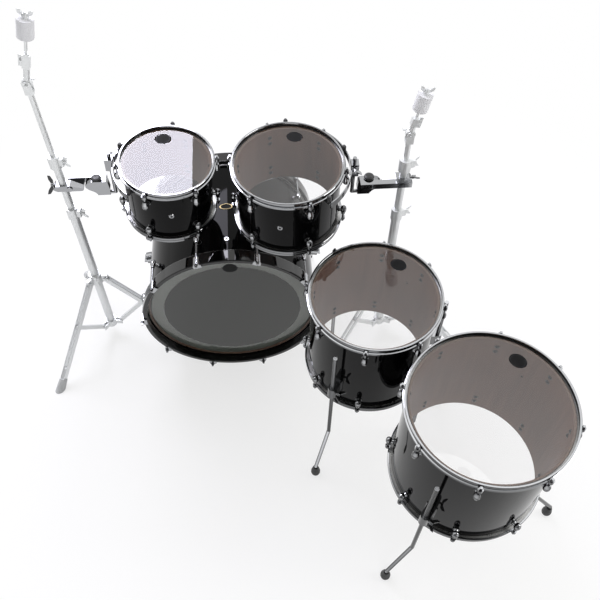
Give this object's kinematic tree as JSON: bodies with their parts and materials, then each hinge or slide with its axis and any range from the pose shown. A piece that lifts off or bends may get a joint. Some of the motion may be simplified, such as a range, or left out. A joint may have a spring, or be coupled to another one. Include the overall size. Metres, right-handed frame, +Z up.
{
  "type": "acoustic drum kit",
  "caption": "Acoustic drum kit with a bass drum on spurs, rack toms hung from tripod stands, and floor toms on height-adjustable bent legs.",
  "frame": {"origin": "on the floor under the middle of the bounding box of the whole kit", "axes": "+Z up, +Y from the drummer's side towards the audience, along the bass drum's axis, +X to the drummer's right, towards the floor toms"},
  "size_m": [1.6468, 1.304, 1.3287],
  "materials": {
    "black_lacquer": "high gloss",
    "black_hoop": "gloss",
    "clear_film": "clear and glossy",
    "chrome": "polished",
    "pale_chrome": "polished",
    "steel_rod": "polished"
  },
  "bodies": {
    "standing_drums": {"bass_drum_shell": "black_lacquer", "bass_drum_heads": "clear_film", "bass_drum_hoops": "black_hoop", "bass_drum_lugs": "chrome", "bass_drum_claws": "chrome", "spur_brackets": "chrome", "tom_14_shell": "black_lacquer", "tom_16_shell": "black_lacquer", "floor_tom_hoops": "chrome", "floor_tom_heads": "clear_film", "floor_tom_lugs": "chrome", "floor_drum_tension_rods": "steel_rod", "leg_brackets": "chrome", "stand_base_tubes": "pale_chrome"},
    "tom_14_leg_1_rod": {"tom_14_leg_1": "steel_rod"},
    "tom_14_leg_2_rod": {"tom_14_leg_2": "steel_rod"},
    "tom_14_leg_3_rod": {"tom_14_leg_3": "steel_rod"},
    "tom_16_leg_1_rod": {"tom_16_leg_1": "steel_rod"},
    "tom_16_leg_2_rod": {"tom_16_leg_2": "steel_rod"},
    "tom_16_leg_3_rod": {"tom_16_leg_3": "steel_rod"},
    "left_spur": {"spur_left": "chrome"},
    "left_spur_tip": {"spur_rod_left": "steel_rod"},
    "right_spur": {"spur_right": "chrome"},
    "right_spur_tip": {"spur_rod_right": "steel_rod"},
    "left_mast": {"left_middle_tube": "pale_chrome"},
    "tom_10_arm_body": {"tom_10_arm": "chrome"},
    "tom_10": {"tom_10_shell": "black_lacquer", "tom_10_heads": "clear_film", "tom_10_hoops": "chrome", "tom_10_lugs": "chrome", "tom_10_tension_rods": "steel_rod", "tom_10_mount": "chrome", "tom_10_l_rod": "steel_rod"},
    "left_top": {"left_upper_rod": "pale_chrome"},
    "left_cymbal_tilter": {"left_tilter": "pale_chrome"},
    "left_hub": {"left_tripod_hub": "pale_chrome"},
    "left_brace_1": {"left_tripod_brace_1": "pale_chrome"},
    "left_leg_1": {"left_tripod_leg_1": "pale_chrome"},
    "left_brace_2": {"left_tripod_brace_2": "pale_chrome"},
    "left_leg_2": {"left_tripod_leg_2": "pale_chrome"},
    "left_brace_3": {"left_tripod_brace_3": "pale_chrome"},
    "left_leg_3": {"left_tripod_leg_3": "pale_chrome"},
    "right_mast": {"right_middle_tube": "pale_chrome"},
    "tom_12_arm_body": {"tom_12_arm": "chrome"},
    "tom_12": {"tom_12_shell": "black_lacquer", "tom_12_heads": "clear_film", "tom_12_hoops": "chrome", "tom_12_lugs": "chrome", "tom_12_tension_rods": "steel_rod", "tom_12_mount": "chrome", "tom_12_l_rod": "steel_rod"},
    "right_top": {"right_upper_rod": "pale_chrome"},
    "right_cymbal_tilter": {"right_tilter": "pale_chrome"},
    "right_hub": {"right_tripod_hub": "pale_chrome"},
    "right_brace_1": {"right_tripod_brace_1": "pale_chrome"},
    "right_leg_1": {"right_tripod_leg_1": "pale_chrome"},
    "right_brace_2": {"right_tripod_brace_2": "pale_chrome"},
    "right_leg_2": {"right_tripod_leg_2": "pale_chrome"},
    "right_brace_3": {"right_tripod_brace_3": "pale_chrome"},
    "right_leg_3": {"right_tripod_leg_3": "pale_chrome"}
  },
  "joints": [
    {"name": "tom_14_leg_1_slide", "type": "slide", "parent": "standing_drums", "child": "tom_14_leg_1_rod", "axis": [0, 0, 1], "range_m": [-0.06, 0.16]},
    {"name": "tom_14_leg_2_slide", "type": "slide", "parent": "standing_drums", "child": "tom_14_leg_2_rod", "axis": [0, 0, 1], "range_m": [-0.06, 0.16]},
    {"name": "tom_14_leg_3_slide", "type": "slide", "parent": "standing_drums", "child": "tom_14_leg_3_rod", "axis": [0, 0, 1], "range_m": [-0.06, 0.16]},
    {"name": "tom_16_leg_1_slide", "type": "slide", "parent": "standing_drums", "child": "tom_16_leg_1_rod", "axis": [0, 0, 1], "range_m": [-0.06, 0.16]},
    {"name": "tom_16_leg_2_slide", "type": "slide", "parent": "standing_drums", "child": "tom_16_leg_2_rod", "axis": [0, 0, 1], "range_m": [-0.06, 0.16]},
    {"name": "tom_16_leg_3_slide", "type": "slide", "parent": "standing_drums", "child": "tom_16_leg_3_rod", "axis": [0, 0, 1], "range_m": [-0.06, 0.16]},
    {"name": "left_spur_swing", "type": "hinge", "parent": "standing_drums", "child": "left_spur", "pos_m": [-0.46878, 0.49, 0.23207], "axis": [0.9781, 0, 0.2079], "range_deg": [-35, 55]},
    {"name": "left_spur_length", "type": "slide", "parent": "left_spur", "child": "left_spur_tip", "axis": [-0.0021, 0.5649, -0.8252], "range_m": [-0.09, 0]},
    {"name": "right_spur_swing", "type": "hinge", "parent": "standing_drums", "child": "right_spur", "pos_m": [0.13278, 0.49, 0.23207], "axis": [0.9781, 0, -0.2079], "range_deg": [-35, 55]},
    {"name": "right_spur_length", "type": "slide", "parent": "right_spur", "child": "right_spur_tip", "axis": [0.0021, 0.5649, -0.8252], "range_m": [-0.09, 0]},
    {"name": "left_mast_height", "type": "slide", "parent": "standing_drums", "child": "left_mast", "axis": [0, 0, 1], "range_m": [-0.02, 0.2]},
    {"name": "tom_10_arm_swing", "type": "hinge", "parent": "left_mast", "child": "tom_10_arm_body", "pos_m": [-0.63296, 0.33756, 0.76467], "axis": [0, 0, 1], "range_deg": [-20, 20]},
    {"name": "tom_10_tilt", "type": "hinge", "parent": "tom_10_arm_body", "child": "tom_10", "pos_m": [-0.48696, 0.34156, 0.72267], "axis": [1, 0, 0], "range_deg": [-11, 11]},
    {"name": "left_top_height", "type": "slide", "parent": "left_mast", "child": "left_top", "axis": [0, 0, 1], "range_m": [-0.2, 0.09]},
    {"name": "left_cymbal_tilt", "type": "hinge", "parent": "left_top", "child": "left_cymbal_tilter", "pos_m": [-0.63296, 0.33756, 1.12], "axis": [0, 1, 0], "range_deg": [-60, 60]},
    {"name": "left_hub_slide", "type": "slide", "parent": "standing_drums", "child": "left_hub", "axis": [0, 0, 1], "range_m": [0, 0.0674]},
    {"name": "left_brace_1_fold", "type": "hinge", "parent": "standing_drums", "child": "left_brace_1", "pos_m": [-0.65246, 0.30971, 0.06421], "axis": [-0.8192, 0.5736, 0], "range_deg": [0, 26]},
    {"name": "left_leg_1_fold", "type": "hinge", "parent": "left_brace_1", "child": "left_leg_1", "pos_m": [-0.7133, 0.22283, 0.19061], "axis": [0.8192, -0.5736, 0], "range_deg": [0, 52]},
    {"name": "left_brace_2_fold", "type": "hinge", "parent": "standing_drums", "child": "left_brace_2", "pos_m": [-0.59909, 0.3346, 0.06421], "axis": [-0.0872, -0.9962, 0], "range_deg": [0, 26]},
    {"name": "left_leg_2_fold", "type": "hinge", "parent": "left_brace_2", "child": "left_leg_2", "pos_m": [-0.49344, 0.32535, 0.19061], "axis": [0.0872, 0.9962, 0], "range_deg": [0, 52]},
    {"name": "left_brace_3_fold", "type": "hinge", "parent": "standing_drums", "child": "left_brace_3", "pos_m": [-0.64733, 0.36837, 0.06421], "axis": [0.9063, 0.4226, 0], "range_deg": [0, 26]},
    {"name": "left_leg_3_fold", "type": "hinge", "parent": "left_brace_3", "child": "left_leg_3", "pos_m": [-0.69216, 0.4645, 0.19061], "axis": [-0.9063, -0.4226, 0], "range_deg": [0, 52]},
    {"name": "right_mast_height", "type": "slide", "parent": "standing_drums", "child": "right_mast", "axis": [0, 0, 1], "range_m": [-0.02, 0.2]},
    {"name": "tom_12_arm_swing", "type": "hinge", "parent": "right_mast", "child": "tom_12_arm_body", "pos_m": [0.36237, 0.28525, 0.78196], "axis": [0, 0, 1], "range_deg": [-24, 2.5]},
    {"name": "tom_12_tilt", "type": "hinge", "parent": "tom_12_arm_body", "child": "tom_12", "pos_m": [0.21437, 0.28125, 0.73996], "axis": [1, 0, 0], "range_deg": [-4, 11]},
    {"name": "right_top_height", "type": "slide", "parent": "right_mast", "child": "right_top", "axis": [0, 0, 1], "range_m": [-0.05, 0.06]},
    {"name": "right_cymbal_tilt", "type": "hinge", "parent": "right_top", "child": "right_cymbal_tilter", "pos_m": [0.36237, 0.28525, 0.946], "axis": [0, 1, 0], "range_deg": [-60, 60]},
    {"name": "right_hub_slide", "type": "slide", "parent": "standing_drums", "child": "right_hub", "axis": [0, 0, 1], "range_m": [0, 0.0674]},
    {"name": "right_brace_1_fold", "type": "hinge", "parent": "standing_drums", "child": "right_brace_1", "pos_m": [0.39432, 0.27362, 0.06421], "axis": [-0.342, -0.9397, 0], "range_deg": [0, 26]},
    {"name": "right_leg_1_fold", "type": "hinge", "parent": "right_brace_1", "child": "right_leg_1", "pos_m": [0.49399, 0.23735, 0.19061], "axis": [0.342, 0.9397, 0], "range_deg": [0, 52]},
    {"name": "right_brace_2_fold", "type": "hinge", "parent": "standing_drums", "child": "right_brace_2", "pos_m": [0.35647, 0.31873, 0.06421], "axis": [0.9848, 0.1736, 0], "range_deg": [0, 26]},
    {"name": "right_leg_2_fold", "type": "hinge", "parent": "right_brace_2", "child": "right_leg_2", "pos_m": [0.33805, 0.42318, 0.19061], "axis": [-0.9848, -0.1736, 0], "range_deg": [0, 52]},
    {"name": "right_brace_3_fold", "type": "hinge", "parent": "standing_drums", "child": "right_brace_3", "pos_m": [0.33633, 0.2634, 0.06421], "axis": [-0.6428, 0.766, 0], "range_deg": [0, 26]},
    {"name": "right_leg_3_fold", "type": "hinge", "parent": "right_brace_3", "child": "right_leg_3", "pos_m": [0.25508, 0.19522, 0.19061], "axis": [0.6428, -0.766, 0], "range_deg": [0, 52]}
  ],
  "couplings": [
    {"joint": "left_brace_1_fold", "follows": "left_hub_slide", "rad_per_m": 6.732},
    {"joint": "left_leg_1_fold", "follows": "left_hub_slide", "rad_per_m": 13.464},
    {"joint": "left_brace_2_fold", "follows": "left_hub_slide", "rad_per_m": 6.732},
    {"joint": "left_leg_2_fold", "follows": "left_hub_slide", "rad_per_m": 13.464},
    {"joint": "left_brace_3_fold", "follows": "left_hub_slide", "rad_per_m": 6.732},
    {"joint": "left_leg_3_fold", "follows": "left_hub_slide", "rad_per_m": 13.464},
    {"joint": "right_brace_1_fold", "follows": "right_hub_slide", "rad_per_m": 6.732},
    {"joint": "right_leg_1_fold", "follows": "right_hub_slide", "rad_per_m": 13.464},
    {"joint": "right_brace_2_fold", "follows": "right_hub_slide", "rad_per_m": 6.732},
    {"joint": "right_leg_2_fold", "follows": "right_hub_slide", "rad_per_m": 13.464},
    {"joint": "right_brace_3_fold", "follows": "right_hub_slide", "rad_per_m": 6.732},
    {"joint": "right_leg_3_fold", "follows": "right_hub_slide", "rad_per_m": 13.464}
  ]
}
